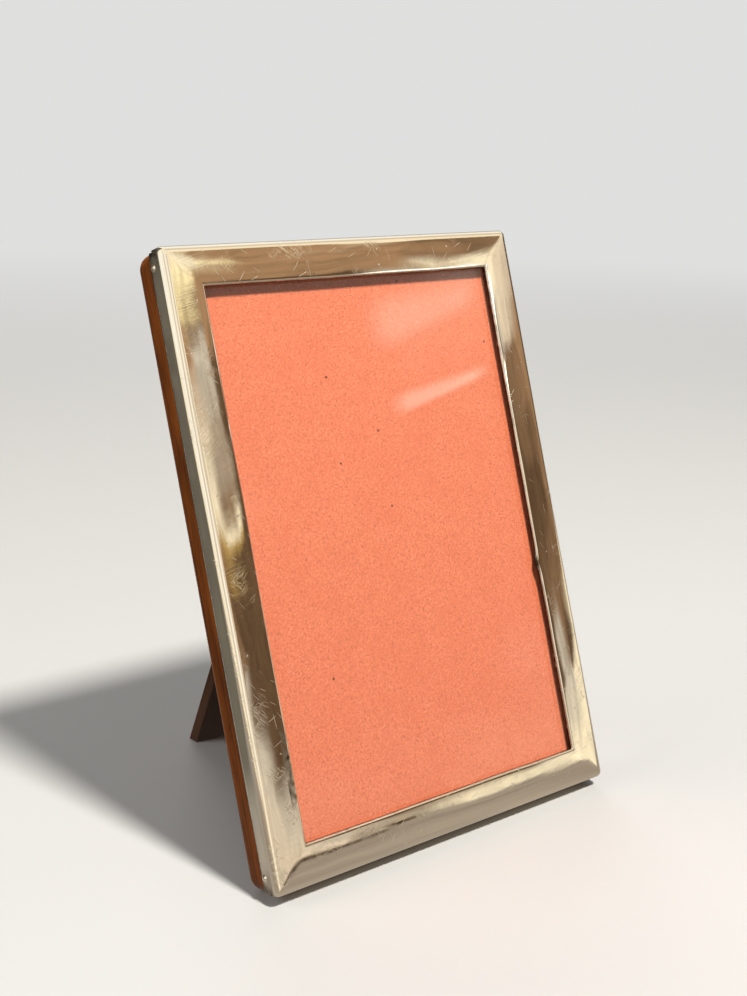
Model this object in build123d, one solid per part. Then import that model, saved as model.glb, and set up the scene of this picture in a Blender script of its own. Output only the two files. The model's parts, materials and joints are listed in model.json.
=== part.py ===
"""Easel back photo frame: a crowned sheet-silver front over a mitred wooden surround, with a hinged wooden strut.

Everything is drawn with the frame upright first: X across the front, Y from the front (0) to the back, Z up from
the bottom edge. The frame is then leaned back onto its rear bottom edge and stood on the floor, Z = 0, with the
strut open against its stop.
"""

import os
from itertools import product
from math import atan2, cos, degrees, radians, sin, sqrt

from build123d import *

# Driving dimensions of the whole frame, in millimetres and degrees
frame_width = 106.5
frame_height = 150.0
lean_angle = 19.0  # front face from the vertical
open_angle = 37.0  # strut from the back when it stands on its stop

# Silver front: one pressed sheet
border_width = 10.0  # outer edge to sight edge
silver_thickness = 0.5
crown_height = 0.6  # rise of the cushioned face
outer_edge_radius = 1.8
lip_radius = 0.6
lip_depth = 1.4  # front of the crown to the rear of the turned lip
skirt_depth = 5.8  # front of the crown to the rear of the side skirt
skirt_corner_radius = 1.6
notch_width = 0.9  # relief cut in the skirt at each corner
notch_depth = 2.6

# Glass, picture, packing and back panel, stacked behind the lip
lip_overlap = 2.0  # glass hidden behind the lip on each side
glass_thickness = 2.0
glass_edge_bevel = 0.2
card_thickness = 0.4
packing_thickness = 4.0
panel_thickness = 5.2
panel_edge_bevel = 0.4

# Wooden surround
back_edge_radius = 3.0  # round-over along the rear edges
corner_extra = 1.0  # plan corner radius beyond that round-over
wood_seat_gap = 0.1  # between the wood and the inside of the silver

# Round-headed pins through the skirt
pin_shank_radius = 0.45
pin_length = 5.0
pin_head_radius = 0.9
pin_head_height = 0.5
pin_corner_distance = 4.5
pin_setback = 1.2  # from the rear edge of the skirt

# Turn buttons that hold the back panel, each on a round-headed screw
button_width = 4.8
button_thickness = 0.9
button_reach = 4.6  # how far a button laps the panel
button_spacing = 84.0  # lower pair to upper pair
button_release = 0.4  # room between a turned button and the panel
button_screw_radius = 0.75
button_screw_depth = 5.5  # in the wood
button_head_radius = 1.7
button_head_height = 1.1

# Strut
strut_thickness = 4.6
strut_top_width = 24.0
strut_foot_width = 44.5
strut_neck_length = 9.0  # parallel stretch below the pin
strut_heel_height = 4.0  # above the pin
strut_edge_bevel = 1.2

# Brass bracket that carries the strut between two ears
hinge_drop = 32.0  # strut pin below the top edge, along the back
bracket_thickness = 1.0
bracket_height = 15.0
bracket_flange = 7.0  # plate outside each ear
bracket_corner_radius = 2.0
ear_radius = 3.2
strut_pin_radius = 1.0
strut_pin_head_radius = 1.7
strut_pin_head_height = 0.7
bracket_screw_radius = 0.8
bracket_screw_cover = 0.8  # panel left under the screws
bracket_screw_spacing = 9.0
bracket_head_radius = 1.7
bracket_head_height = 1.0

# Screw slots
slot_width = 0.4
slot_depth = 0.4

# Clearances
outline_clearance = 0.2  # stack outline inside the surround
stack_clearance = 0.05  # between stacked flat faces
strut_gap = 0.4  # folded strut to the bracket's plate
stop_gap = 0.15  # heel of the open strut to the plate
ear_gap = 0.25  # strut to each ear
running_clearance = 0.05  # round a pin or screw that something turns on
shank_clearance = 0.03  # round a driven pin or screw
button_gap = 0.1  # button to wood, and screw head to button

# Shape of the silver sheet, worked out from the sizes above
crown_radius = (border_width**2 / 4 + crown_height**2) / (2 * crown_height)


def shoulder(radius):
    """Depth at which an edge of this radius, tangent to the crown, has turned square to the face."""
    return crown_radius - sqrt((crown_radius - radius) ** 2 - (border_width / 2 - radius) ** 2)


skirt_shoulder = shoulder(outer_edge_radius)
lip_shoulder = shoulder(lip_radius)
crown_start = degrees(atan2(crown_radius - skirt_shoulder, outer_edge_radius - border_width / 2))
crown_end = degrees(atan2(crown_radius - lip_shoulder, border_width / 2 - lip_radius))

# Depths of the stack and of the wood
glass_front = lip_depth + stack_clearance
card_front = glass_front + glass_thickness + stack_clearance
packing_front = card_front + card_thickness + stack_clearance
panel_front = packing_front + packing_thickness + stack_clearance
back_depth = panel_front + panel_thickness
flange_front = skirt_depth + stack_clearance
tongue_front = skirt_shoulder + stack_clearance

# Widths of the wood and outline of the stack
rail_width = border_width - lip_overlap - outline_clearance
opening_width = frame_width - 2 * rail_width
opening_height = frame_height - 2 * rail_width
stack_width = opening_width - 2 * outline_clearance
stack_height = opening_height - 2 * outline_clearance

# Places of the strut pin, the skirt pins and the buttons on the upright frame
plate_rear = back_depth + bracket_thickness
strut_inner = plate_rear + strut_gap
hinge_y = strut_inner + strut_thickness / 2
hinge_z = frame_height - hinge_drop
ear_inner = strut_top_width / 2 + ear_gap
ear_outer = ear_inner + bracket_thickness
bracket_width = 2 * (ear_outer + bracket_flange)
pin_y = skirt_depth - pin_setback
pin_heights = (pin_corner_distance, frame_height - pin_corner_distance)
button_inset = button_width / 2 + button_release
button_x = opening_width / 2 + button_inset
button_heights = {"lower": (frame_height - button_spacing) / 2, "upper": (frame_height + button_spacing) / 2}

# Standing: the round-over of the bottom edge touches the floor
lift = (
    (back_depth - back_edge_radius) * sin(radians(lean_angle))
    - back_edge_radius * cos(radians(lean_angle))
    + back_edge_radius
)
axis_above_floor = hinge_z * cos(radians(lean_angle)) - hinge_y * sin(radians(lean_angle)) + lift
strut_length = axis_above_floor / cos(radians(open_angle - lean_angle))

leaned = Pos(0, 0, lift) * Rot(-lean_angle, 0, 0)
swung = Pos(0, hinge_y, hinge_z) * Rot(open_angle, 0, 0) * Pos(0, -hinge_y, -hinge_z)


def slab(width, height, front, back, radius=0.0):
    """Upright rectangular block on the middle of the frame, from one depth to another."""
    outline = RectangleRounded(width, height, radius) if radius else Rectangle(width, height)
    return extrude(Plane.XZ.offset(-front) * Pos(0, frame_height / 2) * outline, amount=front - back)


def facing_back(x, y, z):
    """Place for something whose own +Z points out of the back of the frame."""
    return Plane(origin=(x, y, z), x_dir=(1, 0, 0), z_dir=(0, 1, 0)).location


def side_places():
    """Name, length and place of each side of the frame, for shapes drawn along the bottom edge."""
    return (
        ("bottom", frame_width, Pos(0, 0, 0)),
        ("right", frame_height, Pos(frame_width / 2, 0, frame_height / 2) * Rot(0, -90, 0)),
        ("top", frame_width, Pos(0, 0, frame_height) * Rot(0, 180, 0)),
        ("left", frame_height, Pos(-frame_width / 2, 0, frame_height / 2) * Rot(0, 90, 0)),
    )


def mitre_wedge(length):
    """Everything over one side of the frame, from one mitre to the other."""
    outline = Polyline(
        (-length / 2, 0),
        (length / 2, 0),
        (length / 2 - border_width, border_width),
        (border_width - length / 2, border_width),
        close=True,
    )
    return extrude(Plane.XZ.offset(back_depth) * make_face(outline), amount=-3 * back_depth)


# Fasteners, drawn along Z with the seat of the head at the origin


def round_headed(shank_radius, length, head_radius, head_height):
    """Plain shank under a plain round head."""
    head = Cylinder(head_radius, head_height, align=(Align.CENTER, Align.CENTER, Align.MIN))
    return head + drilled(shank_radius, length)


def slotted(screw, top, head_radius):
    """The screw with a driver slot across its head."""
    return screw - Pos(0, 0, top) * Box(3 * head_radius, slot_width, 2 * slot_depth)


def drilled(radius, depth):
    """A driven shank, or the hole for one, down from the seat of its head."""
    return Cylinder(radius, depth, align=(Align.CENTER, Align.CENTER, Align.MAX))


# Silver front


def sheet_line(inset):
    """The sheet from its shoulder over the crown to the lip: inward is +X, the front is +Y."""
    edge = CenterArc(
        (outer_edge_radius, -skirt_shoulder), outer_edge_radius - inset, crown_start, 180 - crown_start
    )
    crown = CenterArc(
        (border_width / 2, -crown_radius), crown_radius - inset, crown_end, crown_start - crown_end
    )
    lip = CenterArc((border_width - lip_radius, -lip_shoulder), lip_radius - inset, 0, crown_end)
    turned = Line((border_width - inset, -lip_shoulder), (border_width - inset, -lip_depth))
    return edge + crown + lip + turned


def face_section():
    """Cross-section of the crowned face with its turned lip."""
    inside = silver_thickness
    ends = Line((0, -skirt_shoulder), (inside, -skirt_shoulder)) + Line(
        (border_width, -lip_depth), (border_width - inside, -lip_depth)
    )
    return make_face(sheet_line(0) + sheet_line(inside) + ends)


def crowned_face():
    """Four crowned sides that meet in creased mitres."""
    section = face_section()
    sides = []
    for _, length, place in side_places():
        start = Plane(origin=(-length / 2, 0, 0), x_dir=(0, 0, 1), z_dir=(1, 0, 0))
        sides.append(place * (extrude(start * section, amount=length) & mitre_wedge(length)))
    return sides[0] + sides[1:]


def corner_places():
    """Places of the four corners, for shapes drawn inward along +X and +Z."""
    corners = ((-1, -1, 0), (1, -1, -90), (1, 1, 180), (-1, 1, 90))
    return [
        Pos(side * frame_width / 2, 0, frame_height / 2 * (1 + end)) * Rot(0, turn, 0)
        for side, end, turn in corners
    ]


def corner_slivers():
    """What the rounded corners leave off the square ones of the crowned face."""
    radius = skirt_corner_radius
    sliver = Box(radius, 2 * skirt_depth, radius, align=(Align.MIN, Align.CENTER, Align.MIN))
    sliver -= Pos(radius, 0, radius) * Rot(90, 0, 0) * Cylinder(radius, 4 * skirt_depth)
    return [place * sliver for place in corner_places()]


def skirt_notches():
    """Relief cuts at the four corners of the skirt."""
    length = 4 * skirt_corner_radius + 4 * silver_thickness
    cut = Pos(0, skirt_depth - notch_depth / 2, 0) * Rot(0, 45, 0) * Box(notch_width, notch_depth, length)
    return [place * cut for place in corner_places()]


def silver_front():
    inner_radius = max(skirt_corner_radius - silver_thickness, 0.0)
    inner = (frame_width - 2 * silver_thickness, frame_height - 2 * silver_thickness)
    skirt = slab(frame_width, frame_height, skirt_shoulder, skirt_depth, skirt_corner_radius)
    skirt -= slab(*inner, skirt_shoulder, skirt_depth, inner_radius)
    return crowned_face() - corner_slivers() + skirt - skirt_notches() - pin_holes()


# Pins through the skirt


def pin_places():
    return [
        Plane(origin=(side * frame_width / 2, pin_y, height), x_dir=(0, 0, 1), z_dir=(side, 0, 0)).location
        for side, height in product((-1, 1), pin_heights)
    ]


def pin_holes():
    return [place * drilled(pin_shank_radius + shank_clearance, pin_length) for place in pin_places()]


def skirt_pins():
    pin = round_headed(pin_shank_radius, pin_length, pin_head_radius, pin_head_height)
    return Compound([place * pin for place in pin_places()])


# Wooden surround


def surround():
    """The four rails as one: a flange level with the silver, and a tongue that fills the skirt."""
    flange = slab(frame_width, frame_height, flange_front, back_depth, back_edge_radius + corner_extra)
    flange = fillet(flange.faces().sort_by(Axis.Y)[-1].edges(), back_edge_radius)
    inset = 2 * (silver_thickness + wood_seat_gap)
    tongue = slab(frame_width - inset, frame_height - inset, tongue_front, flange_front, skirt_corner_radius)
    opening = slab(opening_width, opening_height, 0, 2 * back_depth)
    return flange + tongue - opening - pin_holes() - button_holes()


def wood_rails():
    whole = surround()
    return {f"wood_rail_{name}": whole & place * mitre_wedge(length) for name, length, place in side_places()}


# Glass, picture, packing and back panel


def glass_pane():
    pane = slab(stack_width, stack_height, glass_front, glass_front + glass_thickness)
    ends = pane.faces().sort_by(Axis.Y)
    return chamfer(ends[0].edges() + ends[-1].edges(), glass_edge_bevel)


def photo_card():
    return slab(stack_width, stack_height, card_front, card_front + card_thickness)


def packing_board():
    return slab(stack_width, stack_height, packing_front, packing_front + packing_thickness)


def back_panel():
    panel = slab(stack_width, stack_height, panel_front, back_depth)
    panel = chamfer(panel.faces().sort_by(Axis.Y)[-1].edges(), panel_edge_bevel)
    return panel - bracket_screw_holes()


# Turn buttons and their screws


def button_places():
    """Name and pivot of each turn button, on the rear face of the wood."""
    return {
        f"{level}_{name}": facing_back(side * button_x, back_depth, height)
        for (level, height), (name, side) in product(button_heights.items(), (("left", -1), ("right", 1)))
    }


def button_holes():
    radius = button_screw_radius + shank_clearance
    return [place * drilled(radius, button_screw_depth) for place in button_places().values()]


def turn_button(side):
    """A brass strip with round ends, lying from its screw towards the middle of the frame."""
    reach = button_inset + button_reach - button_width / 2
    strip = Pos(-side * reach / 2, 0, button_gap) * extrude(
        SlotCenterToCenter(reach, button_width), amount=button_thickness
    )
    return strip - Cylinder(button_screw_radius + running_clearance, 4 * button_thickness)


def turn_buttons():
    return {
        f"turn_button_{name}": place * turn_button(1 if name.endswith("right") else -1)
        for name, place in button_places().items()
    }


def button_screws():
    seat = 2 * button_gap + button_thickness
    length = seat + button_screw_depth - shank_clearance
    screw = round_headed(button_screw_radius, length, button_head_radius, button_head_height)
    screw = slotted(screw, button_head_height, button_head_radius)
    return Compound([place * Pos(0, 0, seat) * screw for place in button_places().values()])


# Strut bracket, its pin and its screws


def bracket_screw_places():
    """Seat of each screw, on the plate outside the ears."""
    x = ear_outer + bracket_flange / 2
    return [
        facing_back(side * x, plate_rear, hinge_z + end * bracket_screw_spacing / 2)
        for side, end in product((-1, 1), (-1, 1))
    ]


def bracket_screw_length():
    return bracket_thickness + panel_thickness - bracket_screw_cover


def bracket_screw_holes():
    hole = drilled(bracket_screw_radius + shank_clearance, bracket_screw_length() + shank_clearance)
    return [place * hole for place in bracket_screw_places()]


def bracket_screws():
    screw = round_headed(bracket_screw_radius, bracket_screw_length(), bracket_head_radius, bracket_head_height)
    screw = slotted(screw, bracket_head_height, bracket_head_radius)
    return Compound([place * screw for place in bracket_screw_places()])


def strut_bracket():
    """A plate on the panel with two round-ended ears bent out of it."""
    outline = RectangleRounded(bracket_width, bracket_height, bracket_corner_radius)
    plate = extrude(Plane.XZ.offset(-back_depth) * Pos(0, hinge_z) * outline, amount=-bracket_thickness)
    stem = hinge_y - back_depth
    ear_face = Circle(ear_radius) + Pos(-stem / 2, 0) * Rectangle(stem, 2 * ear_radius)
    ears = [
        extrude(
            Plane(origin=(start, hinge_y, hinge_z), x_dir=(0, 1, 0), z_dir=(1, 0, 0)) * ear_face,
            amount=bracket_thickness,
        )
        for start in (-ear_outer, ear_inner)
    ]
    bore = Cylinder(strut_pin_radius + shank_clearance, 4 * ear_outer)
    return plate + ears - Pos(0, hinge_y, hinge_z) * Rot(0, 90, 0) * bore - bracket_screw_holes()


def strut_pin():
    """A rivet through the ears and the strut, headed at both ends."""
    head = round_headed(strut_pin_radius, ear_outer, strut_pin_head_radius, strut_pin_head_height)
    half = Pos(0, 0, ear_outer) * head
    return Pos(0, hinge_y, hinge_z) * Rot(0, 90, 0) * (half + Rot(180, 0, 0) * half)


# Strut


def strut_half_width(drop):
    """Half the strut's width at a distance below the pin, on the taper under the neck."""
    taper = (strut_foot_width - strut_top_width) / (strut_length - strut_neck_length)
    return (strut_top_width + taper * (drop - strut_neck_length)) / 2


def strut():
    """Drawn folded and swung open, then cut clear of the plate, which makes its heel, and flat on the floor."""
    below = strut_length + 2 * strut_thickness
    outline = Polyline(
        (-strut_top_width / 2, strut_heel_height),
        (strut_top_width / 2, strut_heel_height),
        (strut_top_width / 2, -strut_neck_length),
        (strut_half_width(below), -below),
        (-strut_half_width(below), -below),
        (-strut_top_width / 2, -strut_neck_length),
        close=True,
    )
    start = Plane.XZ.offset(-strut_inner) * Pos(0, hinge_z)
    blank = extrude(start * make_face(outline), amount=-strut_thickness)
    blank = chamfer(blank.faces().sort_by(Axis.Y)[-1].edges().sort_by(Axis.Z)[1:], strut_edge_bevel)
    bore = Cylinder(strut_pin_radius + running_clearance, 2 * strut_top_width)
    blank -= Pos(0, hinge_y, hinge_z) * Rot(0, 90, 0) * bore
    trim = Box(2 * frame_width, 4 * frame_height, frame_height, align=(Align.CENTER, Align.CENTER, Align.MAX))
    heeled = swung * blank - Pos(0, plate_rear + stop_gap, hinge_z) * Rot(-90, 0, 0) * trim
    return leaned * heeled - Pos(0, hinge_y, 0) * trim


# Assembly


def pieces():
    """Every piece where it stands, before the frame is centred over the origin."""
    fixed = {
        "silver_front": silver_front(),
        "skirt_pins": skirt_pins(),
        **wood_rails(),
        "glass_pane": glass_pane(),
        "photo_card": photo_card(),
        "packing_board": packing_board(),
        "back_panel": back_panel(),
        "turn_button_screws": button_screws(),
        **turn_buttons(),
        "strut_bracket": strut_bracket(),
        "bracket_screws": bracket_screws(),
        "strut_pin": strut_pin(),
    }
    placed = {name: leaned * shape for name, shape in fixed.items()}
    placed["strut"] = strut()
    return placed


def centring(placed):
    """Moves the front of the silver and the rear of the strut to equal distances from the origin."""
    front = placed["silver_front"].bounding_box().min.Y
    rear = placed["strut"].bounding_box().max.Y
    return Pos(0, -(front + rear) / 2, 0)


def main():
    os.makedirs("parts", exist_ok=True)
    placed = pieces()
    centred = centring(placed)
    for name, shape in placed.items():
        export_step(centred * shape, f"parts/{name}.step")


if __name__ == "__main__":
    main()
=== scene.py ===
"""Looks of the easel back photo frame: polished silver over stained wood, a coral card behind glass."""

import json
import math

import bmesh
import bpy
from mathutils import Matrix, Vector, noise


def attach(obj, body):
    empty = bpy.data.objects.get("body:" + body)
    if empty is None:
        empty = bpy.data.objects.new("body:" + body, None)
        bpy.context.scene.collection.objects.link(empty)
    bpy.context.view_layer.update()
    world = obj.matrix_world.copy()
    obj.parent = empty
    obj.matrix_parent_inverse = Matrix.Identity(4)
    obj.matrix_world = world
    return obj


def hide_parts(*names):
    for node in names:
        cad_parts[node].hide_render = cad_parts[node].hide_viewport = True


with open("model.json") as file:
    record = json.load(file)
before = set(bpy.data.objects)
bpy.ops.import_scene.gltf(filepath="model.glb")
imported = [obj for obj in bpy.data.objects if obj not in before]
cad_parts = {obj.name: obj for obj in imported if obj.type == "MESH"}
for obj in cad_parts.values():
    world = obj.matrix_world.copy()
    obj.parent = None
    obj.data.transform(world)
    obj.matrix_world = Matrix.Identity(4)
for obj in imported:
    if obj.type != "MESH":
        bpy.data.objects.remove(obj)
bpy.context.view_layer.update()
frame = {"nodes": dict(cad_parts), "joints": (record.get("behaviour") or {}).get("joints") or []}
nodes = frame["nodes"]

MM = 0.001

LEAN, OPEN = math.radians(19), math.radians(37)  # frame from the vertical, strut from the frame

# Sizes of the upright frame, in millimetres: X across, Y from the front to the back, Z up
WIDTH, HEIGHT = 106.5, 150.0
BORDER, SHEET, CROWN, RIDGE = 10.0, 0.5, 0.6, 8.0  # the ridge's distance is from the outer edge
EDGE_RADIUS, CORNER_RADIUS, LIP_RADIUS = 2.1, 1.6, 0.6
LIP_DEPTH, SKIRT_DEPTH = 1.4, 5.8
NOTCH_WIDTH, NOTCH_DEPTH = 0.9, 2.6
WAVE_ROOM = 0.18  # how far the ridge lies behind the front, so that waves stay behind it
PLATE_REAR, GLASS_FRONT = 14.2, 1.45
HINGE = Vector((0, 16.9, 118.0))
CROWN_RADIUS = (RIDGE**2 + CROWN**2) / (2 * CROWN)

# The upright frame stood on the floor with its strut pin in place: millimetres go in and metres come out
strut_hinge = next(joint for joint in frame["joints"] if joint["name"] == "strut_hinge")
STAND = (
    Matrix.Translation(strut_hinge["pos_m"])
    @ Matrix.Rotation(-LEAN, 4, "X")
    @ Matrix.Scale(MM, 4)
    @ Matrix.Translation(-HINGE)
)


# Node helpers


def add(tree, kind, inputs=None, **attributes):
    """A shader node with its settings and inputs; a socket given as an input is linked."""
    node = tree.nodes.new("ShaderNode" + kind)
    for key, value in attributes.items():
        setattr(node, key, value)
    for key, value in (inputs or {}).items():
        if isinstance(value, bpy.types.NodeSocket):
            tree.links.new(value, node.inputs[key])
        else:
            node.inputs[key].default_value = value
    return node


def mixed(tree, factor, first, second, blend="MIX"):
    """Colour output of a mix of two colours."""
    node = add(tree, "Mix", {0: factor, 6: first, 7: second}, data_type="RGBA", blend_type=blend)
    return node.outputs[2]


def maths(tree, operation, first, second=0.0, clamp=False):
    return add(tree, "Math", {0: first, 1: second}, operation=operation, use_clamp=clamp).outputs[0]


def ramp(tree, factor, stops, smooth=False):
    """Colour ramp from (position, colour) stops; a colour may be one grey number."""
    node = add(tree, "ValToRGB", {"Fac": factor})
    node.color_ramp.interpolation = "EASE" if smooth else "LINEAR"
    elements = node.color_ramp.elements
    while len(elements) < len(stops):
        elements.new(0.5)
    for element, (position, colour) in zip(elements, stops):
        element.position = position
        element.color = (*((colour,) * 3 if isinstance(colour, float) else colour), 1)
    return node.outputs["Color"]


def dots(tree, vector, size, share):
    """Mask of one dot in each chosen cell of a grid of unit cells in X and Z."""
    parts = add(tree, "SeparateXYZ", {"Vector": vector}).outputs
    flat = add(tree, "CombineXYZ", {"X": parts["X"], "Y": parts["Z"]}).outputs["Vector"]
    inputs = {"Vector": flat, "Scale": 1.0, "Randomness": 1.0}
    cells = add(tree, "TexVoronoi", inputs, voronoi_dimensions="2D")
    chance = add(tree, "SeparateColor", {"Color": cells.outputs["Color"]}).outputs["Red"]
    chosen = maths(tree, "LESS_THAN", chance, share)
    inside = ramp(tree, cells.outputs["Distance"], [(0.5 * size, 1.0), (size, 0.0)])
    return maths(tree, "MULTIPLY", inside, chosen)


def noise_at(tree, vector, scale, detail=2.0, roughness=0.5, distortion=0.0):
    inputs = {"Vector": vector, "Scale": scale, "Detail": detail}
    inputs |= {"Roughness": roughness, "Distortion": distortion}
    return add(tree, "TexNoise", inputs).outputs["Fac"]


def mapped(tree, turn=(0, 0, 0), scale=(1, 1, 1), shift=(0, 0, 0)):
    """Object coordinates, in metres, turned into a piece's own axes and then stretched."""
    coordinates = add(tree, "TexCoord").outputs["Object"]
    turned = add(tree, "Mapping", {"Vector": coordinates, "Rotation": turn}).outputs["Vector"]
    return add(tree, "Mapping", {"Vector": turned, "Scale": scale, "Location": shift}).outputs["Vector"]


def bumped(tree, height, strength, distance):
    inputs = {"Height": height, "Strength": strength, "Distance": distance}
    return add(tree, "Bump", inputs).outputs["Normal"]


def new_material(name):
    material = bpy.data.materials.new(name)
    material.use_nodes = True
    tree = material.node_tree
    return material, tree, tree.nodes["Principled BSDF"]


# Materials

UPRIGHT = (LEAN, 0, 0)
ACROSS = (0, math.radians(90), 0)
STRUT_TURN = (LEAN - OPEN, 0, 0)

SILVER, TARNISH_AND_SHADE = (0.955, 0.93, 0.88, 1), (0.07, 0.048, 0.03, 1)
POLISHED, STAINED, MARKED = 0.04, 0.4, 0.26  # roughness of clean silver, and what tarnish and marks add
SCRATCHES = ((0.55, 75), (-0.7, 55), (0.95, 90), (-1.15, 65), (0.1, 45))  # turn, cells in a metre along it
SCRATCH_CELLS, SCRATCH_SIZE, SCRATCH_SHARE = 2200, 0.09, 0.06
HATCH_TURNS, HATCH_CELLS = (0.72, -0.84), (3200, 60, 430)
CLUSTER_SHIFT, CLUSTER_SCALE = (0.11, 0, 0.05), 125
PIT_CELLS, PIT_SIZE, PIT_SHARE = 260, 0.06, 0.15
FINE_RELIEF = 0.00004

RING_GRAIN, PATCH_GRAIN = (150, 150, 6), (190, 190, 55)
STREAK_GRAIN, PORE_GRAIN = (1500, 1500, 30), (3000, 3000, 170)
STREAK_SHARE, RING_SHARE, PATCH_SHARE, PORE_SHARE, PORE_SHADE = 0.35, 0.35, 0.3, 0.6, 0.35
WOOD_RELIEF = 0.00006

BRASS, PATINA = (0.80, 0.57, 0.25, 1), (0.40, 0.24, 0.09, 1)

CARD_TONES = [(0.30, (0.72, 0.162, 0.073)), (0.5, (0.90, 0.232, 0.116)), (0.70, (0.97, 0.305, 0.166))]
CARD_CLOUD, CARD_SPECK = (0.84, 0.195, 0.094, 1), (0.05, 0.016, 0.010, 1)
DARK_FIBRE, BROWN_FIBRE, PALE_FIBRE = (0.60, 0.128, 0.055, 1), (0.62, 0.135, 0.06, 1), (0.99, 0.36, 0.21, 1)
CARD_FIBRES = ((0.3, DARK_FIBRE), (1.6, BROWN_FIBRE), (-0.8, PALE_FIBRE))
CARD_RELIEF = 0.00008

GLASS_TINT, GLASS_SHADE, GLASS_IOR = (0.985, 0.995, 0.985, 1), (0.96, 0.97, 0.96, 1), 1.5
BOARD_DARK, BOARD_LIGHT = (0.20, 0.18, 0.15), (0.34, 0.31, 0.27)


def silver_material():
    """Old polished silver: thin scratches, pits, rubbed patches, patina where polish doesn't reach, and
    painted shade on the inner wall of the opening.
    """
    material, tree, shader = new_material("polished_silver")
    # The attribute holds patina, and painted shade on the inner wall of the opening and its edge
    tarnish_and_shade = add(tree, "Attribute", attribute_name="tarnish_and_shade").outputs["Fac"]
    face = mapped(tree, UPRIGHT)
    cloud = noise_at(tree, face, 420, 3, 0.6)
    stain_and_shade = maths(tree, "MULTIPLY", tarnish_and_shade, ramp(tree, cloud, [(0.3, 0.45), (0.6, 1.0)]), clamp=True)
    colour = mixed(tree, stain_and_shade, SILVER, TARNISH_AND_SHADE)
    tree.links.new(colour, shader.inputs["Base Color"])
    shader.inputs["Metallic"].default_value = 1
    wear = 0.0
    for turn, along in SCRATCHES:
        lines = mapped(tree, (LEAN, turn, 0), (SCRATCH_CELLS, 1, along), (turn, 0, 3 * turn))
        wear = maths(tree, "ADD", wear, dots(tree, lines, SCRATCH_SIZE, SCRATCH_SHARE), clamp=True)
    hatch = 0.0
    for turn in HATCH_TURNS:
        lines = noise_at(tree, mapped(tree, (LEAN, turn, 0), HATCH_CELLS), 1, 1)
        hatch = maths(tree, "ADD", hatch, ramp(tree, lines, [(0.56, 0.0), (0.66, 1.0)]), clamp=True)
    clusters = noise_at(tree, mapped(tree, UPRIGHT, shift=CLUSTER_SHIFT), CLUSTER_SCALE, 2)
    clusters = ramp(tree, clusters, [(0.55, 0.02), (0.70, 0.4)])
    wear = maths(tree, "ADD", wear, maths(tree, "MULTIPLY", hatch, clusters), clamp=True)
    rubbed = ramp(tree, noise_at(tree, face, 55, 3), [(0.50, 0.0), (0.66, 1.0)])
    hairs = noise_at(tree, mapped(tree, (LEAN, 0.2, 0), (90, 60, 2400)), 1, 2)
    rub = maths(tree, "MULTIPLY", ramp(tree, hairs, [(0.52, 0.0), (0.70, 1.0)]), rubbed)
    haze = ramp(tree, noise_at(tree, face, 170, 4, 0.65), [(0.45, 0.0), (0.7, 1.0)])
    pits = dots(tree, mapped(tree, UPRIGHT, (PIT_CELLS, 1, PIT_CELLS)), PIT_SIZE, PIT_SHARE)
    faint = maths(tree, "ADD", maths(tree, "MULTIPLY", rub, 0.25), maths(tree, "MULTIPLY", haze, 0.2))
    marks = maths(tree, "ADD", faint, maths(tree, "ADD", wear, pits), clamp=True)
    rough = maths(tree, "MULTIPLY_ADD", marks, MARKED)
    stained = maths(tree, "MULTIPLY_ADD", stain_and_shade, STAINED)
    stained.node.inputs[2].default_value = POLISHED
    tree.links.new(stained, rough.node.inputs[2])
    tree.links.new(rough, shader.inputs["Roughness"])
    ripple = maths(tree, "MULTIPLY", noise_at(tree, face, 300, 2), 0.35)
    raised = maths(tree, "ADD", ripple, maths(tree, "MULTIPLY", rub, 0.1))
    height = maths(tree, "SUBTRACT", raised, maths(tree, "ADD", wear, pits))
    tree.links.new(bumped(tree, height, 0.5, FINE_RELIEF), shader.inputs["Normal"])
    return material


def wood_material(name, turn, dark, light, shift):
    """Stained and polished wood whose grain runs along the turned Z axis."""
    material, tree, shader = new_material(name)
    rings = noise_at(tree, mapped(tree, turn, RING_GRAIN, shift), 1, 3, 0.55, 0.6)
    patches = noise_at(tree, mapped(tree, turn, PATCH_GRAIN, shift), 1, 2)
    streaks = noise_at(tree, mapped(tree, turn, STREAK_GRAIN, shift), 1, 2, 0.6)
    pores = noise_at(tree, mapped(tree, turn, PORE_GRAIN, shift), 1, 1)
    pores = ramp(tree, pores, [(0.60, 0.0), (0.70, 1.0)])
    tone = maths(tree, "MULTIPLY_ADD", streaks, STREAK_SHARE)
    broad = maths(tree, "MULTIPLY_ADD", rings, RING_SHARE)
    tree.links.new(maths(tree, "MULTIPLY", patches, PATCH_SHARE), broad.node.inputs[2])
    tree.links.new(broad, tone.node.inputs[2])
    middle = tuple((a + b) / 2 for a, b in zip(dark, light))
    colour = ramp(tree, tone, [(0.34, dark), (0.50, middle), (0.66, light)])
    shade = tuple(PORE_SHADE * c for c in dark)
    colour = mixed(tree, maths(tree, "MULTIPLY", pores, PORE_SHARE), colour, (*shade, 1))
    tree.links.new(colour, shader.inputs["Base Color"])
    tree.links.new(ramp(tree, streaks, [(0.3, 0.32), (0.7, 0.48)]), shader.inputs["Roughness"])
    shader.inputs["Specular IOR Level"].default_value = 0.12
    shader.inputs["Coat Weight"].default_value = 0.03
    shader.inputs["Coat Roughness"].default_value = 0.25
    height = maths(tree, "SUBTRACT", streaks, pores)
    tree.links.new(bumped(tree, height, 0.35, WOOD_RELIEF), shader.inputs["Normal"])
    return material


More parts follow.
